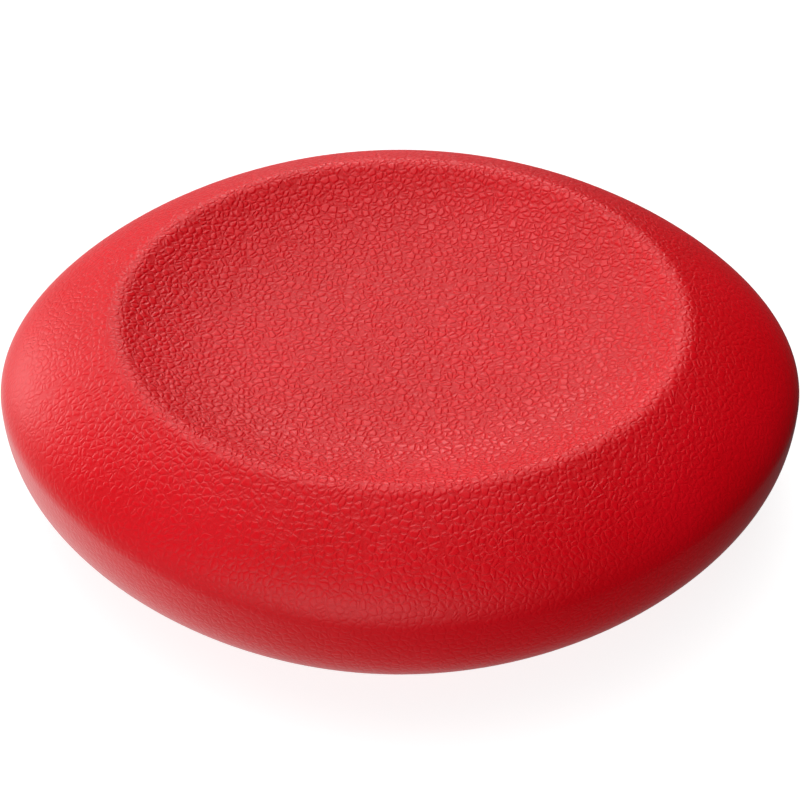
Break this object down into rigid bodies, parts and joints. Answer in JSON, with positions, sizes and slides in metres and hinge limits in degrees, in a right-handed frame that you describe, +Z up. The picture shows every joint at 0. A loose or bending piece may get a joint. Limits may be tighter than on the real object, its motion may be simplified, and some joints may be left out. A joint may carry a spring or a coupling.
{
  "type": "balance pad",
  "caption": "Pebble-shaped balance pad: a grained red skin moulded over soft foam, with a shallow oval dish in its top and a screwed-on non-slip rubber sole.",
  "frame": {"origin": "middle of the underside, where the sole meets the floor", "axes": "+X along the pad's longer direction, +Y along its shorter direction, +Z up through the dish"},
  "size_m": [0.3304, 0.2782, 0.086],
  "materials": {
    "skin": "matt moulded leather-grain skin in one red",
    "foam": "open-cell cream foam",
    "plywood": "unvarnished birch plywood",
    "sole_rubber": "matt black ribbed rubber",
    "grommet_plastic": "matt black nylon",
    "zinc_steel": "bright zinc-plated steel"
  },
  "bodies": {
    "root": {"grained_skin": "skin", "foam_core": "foam", "insert_board": "plywood", "non_slip_sole": "sole_rubber", "vent_grommet": "grommet_plastic", "tee_nuts": "zinc_steel", "spacer_sleeves": "grommet_plastic", "sole_screws": "zinc_steel", "screw_washers": "zinc_steel"}
  },
  "joints": []
}
